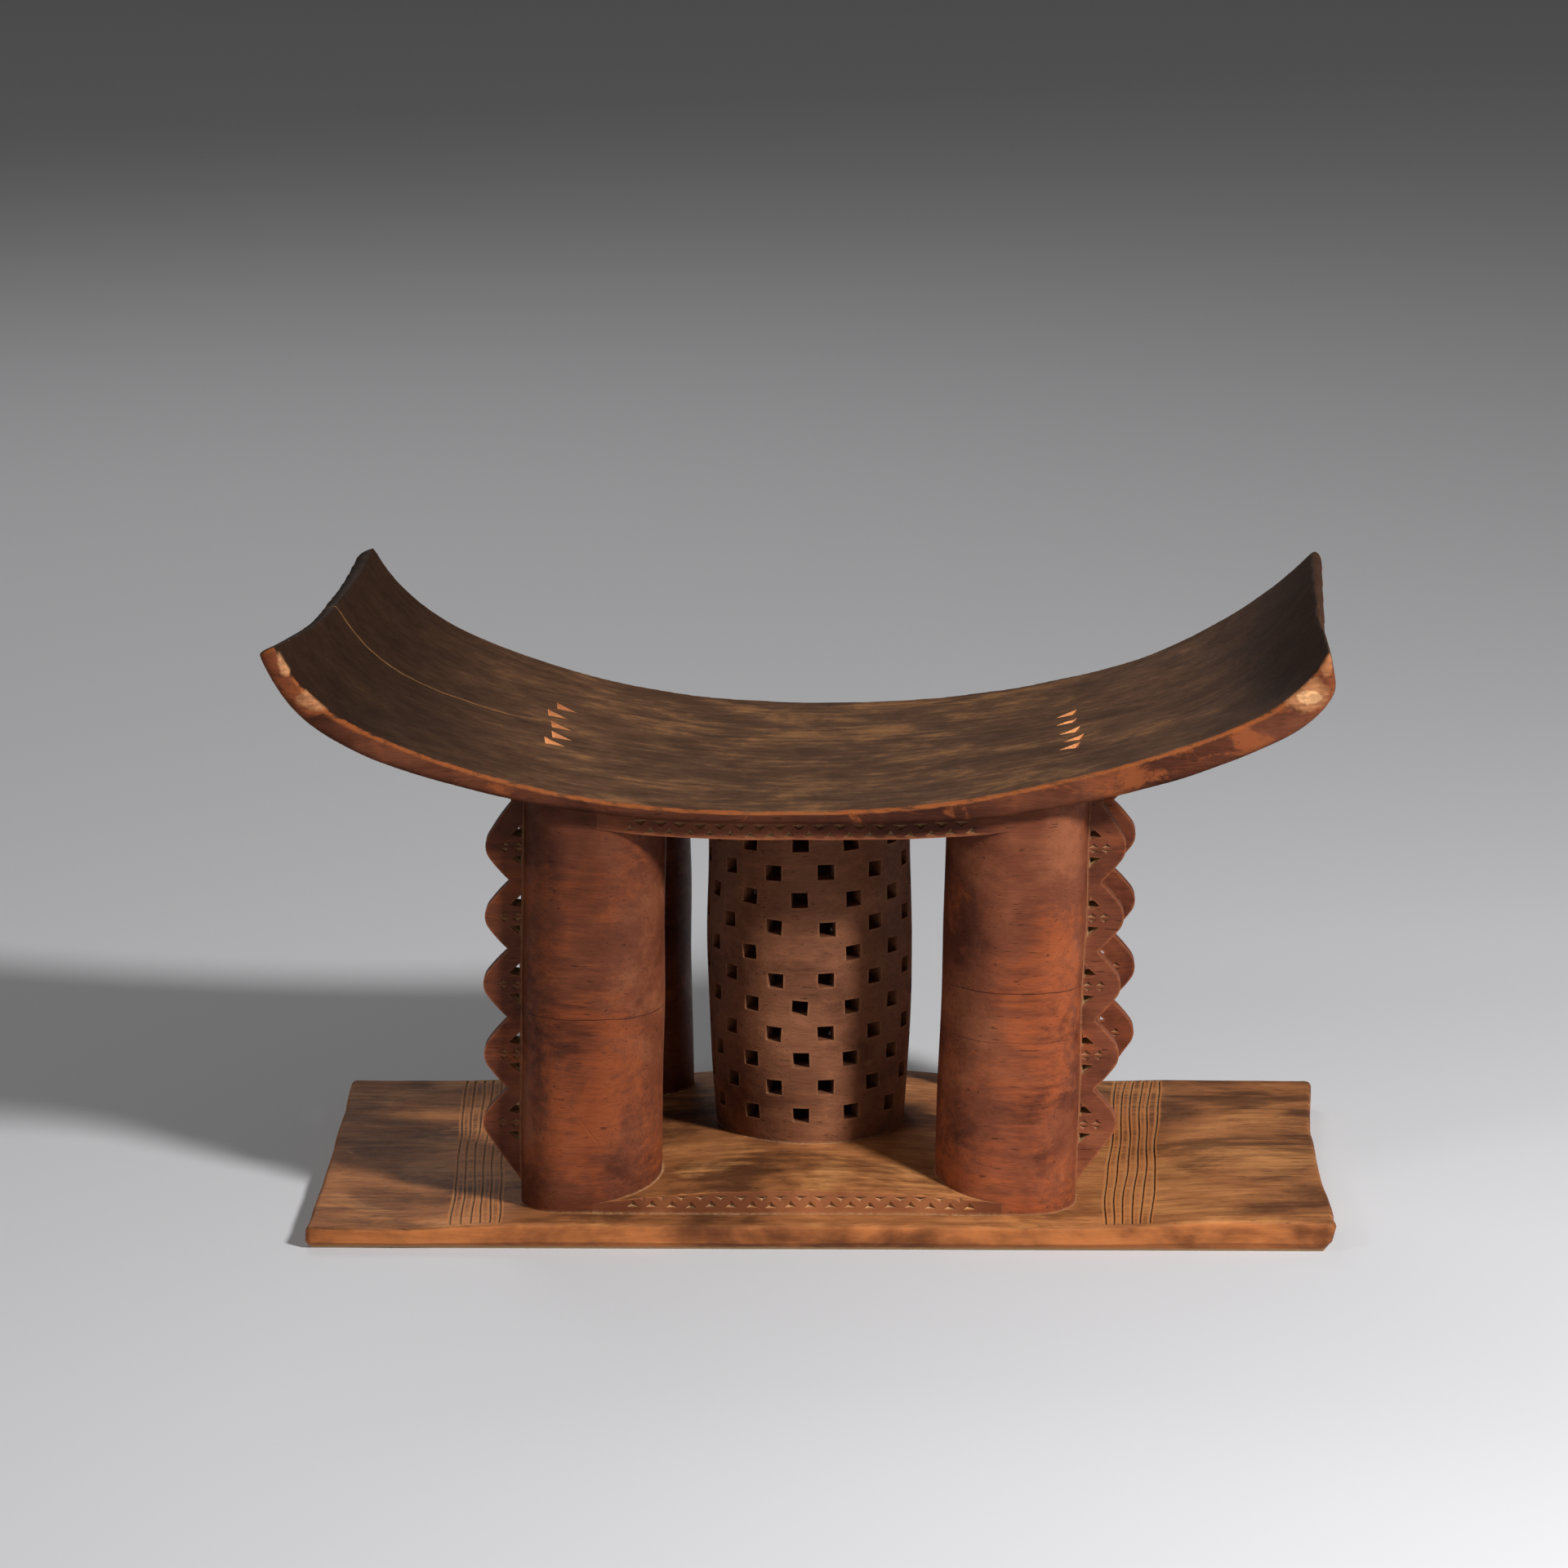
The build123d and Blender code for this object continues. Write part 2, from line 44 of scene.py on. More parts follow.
# Base slab: the flat board that the stool stands on, carved with all the rest from one block of wood.
# Its long grain runs left to right, its edges are worn round, and it has warped a little with age: the
# left end has gone down at the front and the right end stands higher.

SLAB_TOP = 15 * MM
SLAB_SLICE = 5 * MM
SLICE_START = 0.37  # of a slice, so that no cut runs along one of the slab's own edges
SLAB_CREASE = 28  # an edge that turns by more degrees than this stays crisp
MERGE = 0.002 * MM
TRUNK_FACE = 124.6 * MM  # the front and back faces of the posts and plinth
TRUNK_LEFT, TRUNK_RIGHT = -166 * MM, 172 * MM
WARP_SPAN = 70 * MM  # the warp grows over this distance from the trunk
WARP_LEFT, WARP_RIGHT = -2.6 * MM, 3.4 * MM
BACK_WARP = 0.35  # the back edge warps this much of what the front edge does
END_CHIPS = (  # small losses along the two ends: which end, where across the slab, how wide, how deep
    (-1, -128, 16, 1.3),
    (-1, -60, 11, 0.7),
    (-1, 8, 20, 0.8),
    (-1, 86, 14, 0.9),
    (1, -136, 9, 1.6),
    (1, -70, 18, 0.6),
    (1, 41, 15, 0.7),
)
CHIP_REACH = (272 * MM, 288 * MM)  # a chip begins and is whole this far along the slab
LINES = ((-240, -172), (170, 240))  # where the two groups of carved lines lie along the slab
LINE_WANDER = 0.6 * MM  # how far the knife wandered in them
UNDERCUT = 5 * MM  # the foot of the right end slopes in by this


def carved_copy(node, name):
    """A copy of one carved member, with its loose triangles merged."""
    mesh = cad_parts[node].data.copy()
    mesh.name = name
    mesh.materials.clear()
    bm = bmesh.new()
    bm.from_mesh(mesh)
    bmesh.ops.remove_doubles(bm, verts=bm.verts, dist=MERGE)
    bm.to_mesh(mesh)
    bm.free()
    piece = bpy.data.objects.new(name, mesh)
    bpy.context.scene.collection.objects.link(piece)
    return piece


def slice_faces(piece, spacing, axes):
    """Cuts the faces by level planes, so that a flat face has points enough to take the carver's waves."""
    bm = bmesh.new()
    bm.from_mesh(piece.data)
    for axis in axes:
        places = [v.co[axis] for v in bm.verts]
        low, high = min(places), max(places)
        normal = Vector([float(i == axis) for i in range(3)])
        for step in range(1, int((high - low) / spacing) + 1):
            whole = bm.verts[:] + bm.edges[:] + bm.faces[:]
            plane = normal * (low + (step - SLICE_START) * spacing)
            bmesh.ops.bisect_plane(bm, geom=whole, plane_co=plane, plane_no=normal, dist=0.01 * MM)
    bm.to_mesh(piece.data)
    bm.free()


def crease_sharp_edges(piece, degrees):
    """Smooth shading everywhere but over the edges that turn by more than this."""
    bm = bmesh.new()
    bm.from_mesh(piece.data)
    for face in bm.faces:
        face.smooth = True
    for edge in bm.edges:
        edge.smooth = edge.is_manifold and edge.calc_face_angle(0) < math.radians(degrees)
    bm.to_mesh(piece.data)
    bm.free()


def points_of(piece):
    points = np.empty(len(piece.data.vertices) * 3)
    piece.data.vertices.foreach_get("co", points)
    return points.reshape(-1, 3)


def move_points(piece, points):
    piece.data.vertices.foreach_set("co", points.ravel())
    piece.data.update()


WAVES = 16
SHORTEST_WAVE, LONGEST_WAVE = 24, 120
WAVE_HEIGHT = 0.001  # of its length
waves = np.random.default_rng(11)
wave_lengths = waves.uniform(SHORTEST_WAVE, LONGEST_WAVE, WAVES) * MM
wave_turns = waves.normal(size=(WAVES, 3))
wave_turns *= (2 * math.pi / wave_lengths / np.linalg.norm(wave_turns, axis=1))[:, None]
wave_starts = waves.uniform(0, 2 * math.pi, WAVES)
wave_moves = waves.normal(size=(WAVES, 3)) * (wave_lengths * WAVE_HEIGHT)[:, None]


def strays(points):
    """How far the knife strayed at each point. All members follow the same slow waves, so they still meet."""
    return np.sin(points @ wave_turns.T + wave_starts) @ wave_moves


def fade(values, low, high):
    """0 at low and below, 1 at high and above, and a smooth rise between them."""
    share = np.clip((values - low) / (high - low), 0, 1)
    return share * share * (3 - 2 * share)


base_slab = carved_copy("base_slab", "base_slab_wood")
slice_faces(base_slab, SLAB_SLICE, (0, 1))
crease_sharp_edges(base_slab, SLAB_CREASE)
spots = points_of(base_slab)
x, y, z = spots.T
beyond_left = fade(TRUNK_LEFT - x, 0, WARP_SPAN)
beyond_right = fade(x - TRUNK_RIGHT, 0, WARP_SPAN)
front_half = fade(-y, -TRUNK_FACE, TRUNK_FACE)
warp_share = (BACK_WARP + (1 - BACK_WARP) * front_half) * z / SLAB_TOP
moved = spots + strays(spots) * fade(z, 0, SLAB_TOP / 2)[:, None]
moved[:, 2] += (beyond_left * WARP_LEFT + beyond_right * WARP_RIGHT) * warp_share
for end, middle, width, depth in END_CHIPS:
    near_end = fade(end * x, *CHIP_REACH)
    bite = np.exp(-(((y - middle * MM) / (width * MM)) ** 2))
    moved[:, 0] -= end * depth * MM * near_end * bite * fade(z, 0, SLAB_TOP)
for low, high in LINES:
    among = fade(x, (low - 14) * MM, low * MM) * fade(-x, -(high + 8) * MM, -high * MM)
    bends = np.sin(y / 0.031 + x / 0.013) + 0.3 * np.sin(y / 0.0105 + 1 - x / 0.007)
    moved[:, 0] += LINE_WANDER * bends * among * fade(z, 0.010, 0.0125)
right_under = fade(x, 0.288, 0.300) * (1 - fade(z, 2 * MM, 9 * MM))
moved[:, 0] -= UNDERCUT * right_under
move_points(base_slab, moved)
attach(base_slab, "root")
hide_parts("base_slab")


# The finish of old handled wood: the long grain of the block runs through every member from left to right,
# under a patina of oil, smoke and hands. It has worn off along the edges, and dust lies in the cuts.


def tone(red, green, blue):
    """A colour as it is seen, 0 to 255, as the shader wants it."""
    return tuple(
        c / 12.92 if c <= 0.04045 else ((c + 0.055) / 1.055) ** 2.4
        for c in (red / 255, green / 255, blue / 255)
    ) + (1.0,)


def darker(colour, share):
    return tuple(c * share for c in colour[:3]) + (1.0,)


class Finish:
    """One material. Each call lays one node and gives back its output."""

    def __init__(self, name):
        self.material = bpy.data.materials.new(name)
        self.material.use_nodes = True
        self.tree = self.material.node_tree
        self.shader = self.tree.nodes["Principled BSDF"]
        self.place = self.lay("ShaderNodeTexCoord", "Object")

    def lay(self, kind, output, inputs=(), **settings):
        node = self.tree.nodes.new(kind)
        for key, value in settings.items():
            setattr(node, key, value)
        for key, value in dict(inputs).items():
            self.feed(node.inputs[key], value)
        return node.outputs[output]

    def feed(self, socket, value):
        if isinstance(value, bpy.types.NodeSocket):
            self.tree.links.new(value, socket)
        else:
            socket.default_value = value

    def maths(self, operation, first, second=0.0, third=0.0, clamp=False):
        return self.lay(
            "ShaderNodeMath",
            0,
            {0: first, 1: second, 2: third},
            operation=operation,
            use_clamp=clamp,
        )

    def times(self, first, second):
        return self.maths("MULTIPLY", first, second)

    def off(self, value, middle):
        """How far a value is from a middle, either way."""
        return self.maths("ABSOLUTE", self.maths("SUBTRACT", value, middle))

    def stretch(self, place, scale, offset=(0, 0, 0)):
        return self.lay("ShaderNodeMapping", 0, {"Vector": place, "Scale": scale, "Location": offset})

    def noise(self, place, scale, detail=3.0, roughness=0.55, distortion=0.0):
        return self.lay(
            "ShaderNodeTexNoise",
            "Fac",
            {
                "Vector": place,
                "Scale": scale,
                "Detail": detail,
                "Roughness": roughness,
                "Distortion": distortion,
            },
        )

    def ramp(self, value, low, high, to_low=0.0, to_high=1.0):
        return self.lay(
            "ShaderNodeMapRange",
            0,
            {"Value": value, 1: low, 2: high, 3: to_low, 4: to_high},
            interpolation_type="SMOOTHSTEP",
        )

    def blend(self, share, first, second, how="MIX"):
        node = self.tree.nodes.new("ShaderNodeMix")
        node.data_type, node.blend_type = "RGBA", how
        for index, value in ((0, share), (6, first), (7, second)):
            self.feed(node.inputs[index], value)
        return node.outputs[2]

    def shaded(self, colour, value):
        """A colour made darker or lighter by a value."""
        grey = self.lay("ShaderNodeCombineColor", 0, {0: value, 1: value, 2: value})
        return self.blend(1.0, colour, grey, "MULTIPLY")

    def split(self, place):
        node = self.tree.nodes.new("ShaderNodeSeparateXYZ")
        self.feed(node.inputs[0], place)
        return node.outputs

    def facing(self):
        return self.split(self.lay("ShaderNodeNewGeometry", "Normal"))


def aged_wood(
    name,
    tones,
    glow,
    worn,
    dust,
    roughness,
    wear=0.8,
    dusty=1.0,
    stains=0.5,
    rubbing=0.7,
    coarse=1.0,
    figure=0.5,
    gleam=0.12,
    edge_reach=2.4,
    wear_within=None,
    more=None,
):
    """Old wood: three tones of grain, rubbed and stained places, worn edges, and dust in the cuts.

    glow is the tone of the rubbed places, and wear, dusty, stains and rubbing say how much of each there is.
    coarse is how deep the grain stands and figure how much it shows. wear_within is the middle and the half
    length of the stretch whose edges are worn, and more adds what only one member has.
    """
    f = Finish(name)
    dark, middle, light = tones
    # The grain wanders a little on its way through the block.
    wander = f.lay("ShaderNodeTexNoise", "Color", {"Vector": f.place, "Scale": 6.0, "Detail": 2.0})
    bent = f.lay("ShaderNodeVectorMath", 0, {0: wander, 1: (0.5, 0.5, 0.5)}, operation="SUBTRACT")
    bend = {0: bent, 1: (0.02, 0.02, 0.02), 2: f.place}
    bent = f.lay("ShaderNodeVectorMath", 0, bend, operation="MULTIPLY_ADD")
    along = f.stretch(bent, (0.10, 1.0, 1.0))
    fibres = f.noise(f.stretch(bent, (0.06, 1.0, 1.0)), 1500.0, 2.0, 0.6)
    bands = f.noise(along, 210.0, 5.0, 0.68)
    cloud = f.noise(f.stretch(bent, (0.7, 1.0, 1.0)), 19.0, 5.0, 0.58, 0.3)
    patches = f.noise(f.place, 12.0, 5.0, 0.6, 0.5)
    mottle = f.noise(f.place, 330.0, 3.0, 0.6)

    # The three tones, with the places that hands have rubbed to the glow.
    grain = f.maths("MULTIPLY_ADD", bands, 0.15, f.times(cloud, 0.85))
    body = f.blend(f.ramp(grain, 0.36, 0.52), dark, middle)
    body = f.blend(f.ramp(grain, 0.50, 0.68), body, light)
    rub = f.maths("MULTIPLY_ADD", bands, 0.3, patches)
    body = f.blend(f.ramp(rub, 0.66, 0.84, 0.0, rubbing), body, glow)
    body = f.shaded(body, f.ramp(bands, 0.32, 0.68, 1 - 0.16 * figure, 1 + 0.12 * figure))
    # Smoke and oil have stained it.
    smoke = f.noise(f.stretch(f.place, (0.5, 1.0, 1.0), (3.1, 1.7, 0.4)), 15.0, 6.0, 0.64, 0.7)
    smoke = f.ramp(f.maths("MULTIPLY_ADD", bands, 0.25, smoke), 0.62, 0.46, 0.0, stains)
    body = f.blend(smoke, body, darker(dark, 0.45))
    # Fine fibres, the dark flecks of open pores, and long scratches.
    body = f.shaded(body, f.ramp(fibres, 0.28, 0.66, 0.86, 1.08))
    flecks = f.ramp(f.noise(f.stretch(bent, (0.14, 1.0, 1.0)), 680.0, 1.0), 0.69, 0.74, 0.0, 0.6)
    body = f.blend(flecks, body, darker(dark, 0.3))
    scored = f.off(f.noise(f.stretch(f.place, (1.0, 1.0, 0.6)), 23.0, 1.0, 0.4, 0.2), 0.5)
    here_and_there = f.ramp(f.noise(f.place, 36.0, 2.0), 0.56, 0.66)
    scored = f.times(f.ramp(scored, 0.0028, 0.0008), here_and_there)
    body = f.blend(f.times(scored, 0.5), body, glow)

    # The edges are worn.
    edges = {"Distance": edge_reach * MM}
    edges = f.lay("ShaderNodeAmbientOcclusion", "AO", edges, samples=8, inside=True, only_local=True)
    wear_and_painted_light = f.maths("MULTIPLY_ADD", f.noise(along, 420.0, 4.0, 0.7), 0.5, f.times(edges, -1.0))
    wear_and_painted_light = f.ramp(wear_and_painted_light, -0.56, -0.26, 0.0, wear)
    if wear_within:
        px = f.split(f.place)[0]
        centre, half = wear_within
        wear_and_painted_light = f.times(wear_and_painted_light, f.ramp(f.off(px, centre * MM), half * MM, (half - 9) * MM))
    body = f.blend(wear_and_painted_light, body, worn)
    if more:
        body = more(f, body, cloud, bands)

    # Dust has settled in the cuts and the joints.
    hollows = f.lay("ShaderNodeAmbientOcclusion", "AO", {"Distance": 4.0 * MM}, samples=8)
    settled = f.maths("MULTIPLY_ADD", mottle, 0.34, f.times(hollows, -1.0))
    settled = f.ramp(settled, -0.44, -0.20, 0.0, dusty)
    body = f.blend(settled, body, dust)
    f.feed(f.shader.inputs["Base Color"], body)

    # Rubbed places are smoother and dusty ones are dull.
    rough = f.maths("MULTIPLY_ADD", f.ramp(mottle, 0.3, 0.7), 0.12, roughness)
    rough = f.maths("MULTIPLY_ADD", f.ramp(patches, 0.4, 0.62), -0.07, rough)
    rough = f.maths("MULTIPLY_ADD", settled, 0.4, rough, clamp=True)
    f.feed(f.shader.inputs["Roughness"], rough)
    f.shader.inputs["Specular IOR Level"].default_value = gleam

    # The grain stands up, and the knife has left shallow facets.
    knife = f.noise(f.stretch(f.place, (1.0, 1.0, 0.4)), 60.0, 2.0, 0.5)
    height = f.maths("MULTIPLY_ADD", fibres, 0.20 * coarse, f.times(bands, 0.42 * coarse))
    height = f.maths("MULTIPLY_ADD", knife, 0.5, height)
    height = f.maths("MULTIPLY_ADD", flecks, -0.3, height)
    height = f.maths("MULTIPLY_ADD", scored, -0.35, height)
    height = f.maths("MULTIPLY_ADD", mottle, 0.10, height)
    bump = f.lay("ShaderNodeBump", 0, {"Height": height, "Distance": 0.5 * MM, "Strength": 0.8})
    f.feed(f.shader.inputs["Normal"], bump)
    return f.material


TRUNK_TONES = (tone(78, 39, 26), tone(108, 58, 38), tone(136, 80, 53))
BASE_TONES = (tone(92, 56, 34), tone(146, 92, 54), tone(186, 122, 73))
DUST = tone(168, 138, 102)


def redder_sides(f, body, cloud, bands):
    """The sides keep more of the red-brown patina than the top, which feet and hands have rubbed golden."""
    side = f.ramp(f.facing()[2], 0.80, 0.45, 0.0, 0.85)
    red = f.blend(f.ramp(cloud, 0.40, 0.62), tone(108, 60, 34), tone(190, 114, 63))
    return f.blend(side, body, f.shaded(red, f.ramp(bands, 0.34, 0.66, 0.9, 1.06)))


base_wood = aged_wood(
    "base wood",
    tones=BASE_TONES,
    glow=tone(192, 132, 78),
    worn=tone(196, 122, 66),
    dust=DUST,
    roughness=0.5,
    wear=0.6,
    stains=0.6,
    more=redder_sides,
)
base_slab.data.materials.append(base_wood)


# Plinth: the low domed block on the slab, with a chip-carved zigzag along its front and back.
# It is flush with the posts that stand round it, and its top wears to the same gold as the slab.

TRUNK_SLICE = 4 * MM


def finished(piece, node, material):
    piece.data.materials.append(material)
    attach(piece, "root")
    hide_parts(node)
    return piece


def carved_member(node, material, crease=30):
    """A member with the flat and round sides that the blank gave it, waved a little by hand."""
    piece = carved_copy(node, node + "_wood")
    slice_faces(piece, TRUNK_SLICE, (0, 1, 2))
    crease_sharp_edges(piece, crease)
    points = points_of(piece)
    move_points(piece, points + strays(points) * fade(points[:, 2], 0, SLAB_TOP / 2)[:, None])
    return finished(piece, node, material)


def trunk_sides(f, body, cloud, bands):
    """The dome is golden, and its upright faces are redder, towards the patina of the posts."""
    side = f.ramp(f.facing()[2], 0.85, 0.55, 0.0, 0.9)
    red = f.blend(f.ramp(cloud, 0.38, 0.62), tone(120, 68, 42), tone(166, 104, 66))
    px = f.split(f.place)[0]
    red = f.blend(f.ramp(f.off(px, -3 * MM), 0.070, 0.108), red, TRUNK_TONES[1])
    return f.blend(side, body, red)


plinth_wood = aged_wood(
    "plinth wood",
    tones=BASE_TONES,
    glow=tone(196, 138, 84),
    worn=tone(190, 122, 72),
    dust=tone(196, 158, 116),
    roughness=0.5,
    wear=0.8,
    dusty=1.3,
    stains=0.6,
    wear_within=(-3, 108),
    more=trunk_sides,
)
carved_member("plinth", plinth_wood)


# Posts: four thick columns with broad rounded corners, which carry the seat. Their faces are rubbed to a deep
# red-brown, with lighter places where knees and hands touch them, and fine drying cracks. Painted light makes
# their feet and the right posts lighter, and painted shade darkens their tops under the seat.

CRACK = tone(46, 24, 16)
POST_CRACKS = (  # along the grain in the front faces: from x, to x, height, slope, how open
    (-164, -76, 129.0, -0.008, 0.85),
    (-152, -98, 187.0, 0.006, 0.35),
    (80, 160, 147.2, -0.008, 0.85),
    (84, 158, 118.6, -0.012, 0.55),
)


def post_cracks(f, body, cloud, bands):
    """The drying cracks, and painted light and shade: the feet of the posts are painted lighter than their
    tops, and the right posts lighter than the left.
    """
    px, py, pz = f.split(f.place)
    # Painted light and shade: lighter towards the feet, darker towards the tops under the seat, and lighter
    # towards the right, where the key lamp stands.
    wear_and_painted_light = f.times(f.ramp(pz, 0.03, 0.24, 1.12, 0.78), f.ramp(px, -0.14, 0.14, 0.86, 1.24))
    body = f.shaded(body, wear_and_painted_light)
    ragged = f.noise(f.stretch(f.place, (0.5, 1.0, 1.0)), 90.0, 4.0)
    front = f.ramp(py, -0.060, -0.080)
    for start, stop, height, slope, opening in POST_CRACKS:
        line = f.maths("MULTIPLY_ADD", px, -slope, f.maths("MULTIPLY_ADD", ragged, -2.4 * MM, pz))
        thin = f.ramp(f.off(line, (height - 1.2) * MM), 0.42 * MM, 0.12 * MM)
        half = (stop - start) / 2 * MM
        inside = f.ramp(f.off(px, (start + stop) / 2 * MM), half, half - 8 * MM, 0.0, opening)
        body = f.blend(f.times(thin, f.times(inside, front)), body, CRACK)
    return body


trunk_wood = aged_wood(
    "trunk wood",
    tones=TRUNK_TONES,
    glow=tone(148, 74, 38),
    worn=tone(164, 98, 62),
    dust=DUST,
    roughness=0.46,
    wear=0.45,
    stains=0.25,
    rubbing=0.7,
    coarse=0.55,
    figure=0.2,
    more=post_cracks,
)
PLACES = ("front_left", "front_right", "rear_left", "rear_right")
POST_RISE = 2.5 * MM  # the top of each post runs up into the underside of the seat
POST_TOP = (0.232, 0.238)
for place in PLACES:
    post = carved_member(place + "_post", trunk_wood)
    points = points_of(post)
    points[:, 2] += POST_RISE * fade(points[:, 2], *POST_TOP)
    move_points(post, points)


# Upper block: the part of the trunk that joins the four posts under the seat, left standing in the same red
# wood. The zigzag of the plinth is cut again along its front and back.

block_wood = aged_wood(
    "block wood",
    tones=TRUNK_TONES,
    glow=tone(142, 75, 44),
    worn=tone(164, 98, 62),
    dust=DUST,
    roughness=0.46,
    wear=0.5,
    stains=0.15,
    rubbing=0.5,
    coarse=0.55,
    wear_within=(2, 106),
)
carved_member("upper_block", block_wood)


# Central drum: a hollow barrel between the posts, pierced all round by small square windows cut through
# its wall with a knife, so that their sills hold dust. Its curve leaves the long fibres cut short and rough.

drum_wood = aged_wood(
    "drum wood",
    tones=(tone(92, 55, 37), tone(124, 78, 54), tone(146, 95, 66)),
    glow=tone(154, 94, 60),
    worn=tone(156, 104, 72),
    dust=DUST,
    roughness=0.52,
    wear=0.5,
    stains=0.15,
    rubbing=0.4,
    coarse=2.0,
)
carved_member("central_drum", drum_wood, crease=24)


# Fins: a thin lobed plate on the outer side of each post. Every lobe has two pits beside the post, one of
# them broken through, and two pairs of notches between them.

for place in PLACES:
    carved_member(place + "_fin", trunk_wood, crease=34)


# Seat: the dished board, thin in the middle and thick at its upswept ends. Its top is dark from use and
# rubbed golden along the grain, its long edges are worn to a light line, and two corners are broken bare.

SEAT_GRAIN = 1.5 * MM
SEAT_SHARE = 0.5  # of the triangles that are kept once the board is smooth
SMOOTHINGS = 3
END_SMOOTHINGS = 14  # the ends are worn rounder
END_REACH = (0.235, 0.262)
SEAT_CREASE = 34
NICKS = (  # the chisel nicks, as x and y
    (-141.9, 49.2),
    (-146.2, 30.5),
    (-143.0, 7.4),
    (-141.5, -13.1),
    (-144.8, -28.6),
    (151.4, 41.7),
    (151.0, 21.6),
    (152.3, -4.3),
    (154.2, -25.6),
    (151.5, -45.2),
)
NICK_HALF_RUN, NICK_HALF_SLANT = 6.2, 6.0  # half the long side, along and across the board
NICK_SIDE, NICK_FRONT = 5.0, 7.0  # from the middle of that side to the third corner
NICK_DEPTH = 3.2
NICK_MOUTH = 1.2  # the chip is carried this far past the surface, to cut it cleanly


def as_built(piece):
    """Works the modifiers of a piece into its mesh."""
    finished_piece = piece.evaluated_get(bpy.context.evaluated_depsgraph_get())
    mesh = bpy.data.meshes.new_from_object(finished_piece)
    piece.modifiers.clear()
    piece.data = mesh


def smooth_points(piece, rounds, share):
    """Moves each point towards the middle of its neighbours, by its share."""
    edges = np.empty(len(piece.data.edges) * 2, dtype=np.int64)
    piece.data.edges.foreach_get("vertices", edges)
    first, second = edges.reshape(-1, 2).T
    points = points_of(piece)
    count = np.bincount(edges, minlength=len(points))
    for _ in range(rounds):
        around = np.stack(
            [
                np.bincount(first, weights=points[second, axis], minlength=len(points))
                + np.bincount(second, weights=points[first, axis], minlength=len(points))
                for axis in range(3)
            ],
            axis=1,
        )
        points = points + (around / count[:, None] - points) * share[:, None]
    move_points(piece, points)


seat = carved_copy("seat", "seat_wood")
cuts = seat.modifiers.new("cuts", "REMESH")
cuts.mode, cuts.voxel_size = "VOXEL", SEAT_GRAIN
as_built(seat)
reach = np.abs(points_of(seat)[:, 0])
smooth_points(seat, SMOOTHINGS, np.full(len(reach), 0.5))
smooth_points(seat, END_SMOOTHINGS, 0.5 * fade(reach, *END_REACH))
fewer = seat.modifiers.new("fewer", "DECIMATE")
fewer.ratio = SEAT_SHARE
as_built(seat)
spots = points_of(seat)
move_points(seat, spots + strays(spots))


def seat_nicks(board):
    """The chisel nicks in the top, each the shape of the three-sided chip that came out."""
    top = BVHTree.FromObject(board, bpy.context.evaluated_depsgraph_get())
    bm = bmesh.new()
    for px, py in NICKS:
        run = math.copysign(NICK_HALF_RUN, -px)
        third = (px - math.copysign(NICK_SIDE, run), py - NICK_FRONT)
        plan = [(px - run, py + NICK_HALF_SLANT), (px + run, py - NICK_HALF_SLANT), third]
        deep_x, deep_y = (px + third[0]) / 2, (py + third[1]) / 2
        corners = [
            top.ray_cast(Vector((cx * MM, cy * MM, 1.0)), Vector((0, 0, -1)))[0]
            for cx, cy in plan + [(deep_x, deep_y)]
        ]
        deepest = corners.pop() - Vector((0, 0, NICK_DEPTH * MM))
        mouth = [deepest + (corner - deepest) * NICK_MOUTH for corner in corners]
        made = [bm.verts.new(co) for co in mouth + [deepest]]
        bmesh.ops.convex_hull(bm, input=made)
    bmesh.ops.recalc_face_normals(bm, faces=bm.faces)
    mesh = bpy.data.meshes.new("chips")
    bm.to_mesh(mesh)
    bm.free()
    chips = bpy.data.objects.new("chips", mesh)
    bpy.context.scene.collection.objects.link(chips)
    return chips


CRACK_PATH = (  # the long drying crack in the left half of the top, as x and y
    (-280.0, 10.0),
    (-255.0, 4.5),
    (-228.0, 4.0),
    (-203.0, 4.5),
    (-179.0, 3.5),
    (-154.0, 9.0),
)
BARE_CORNERS = (  # broken out of the front edge: x, z, half length, half height, how bare, how pale
    (-289, 341, 5, 9, 0.8, 0.45),
    (-272, 319, 13, 7, 0.9, 0.2),
    (281, 323, 15, 11, 0.85, 0.2),
    (292, 341, 4, 9, 0.7, 0.1),
    (283, 321.5, 8, 4, 0.95, 1.0),
)


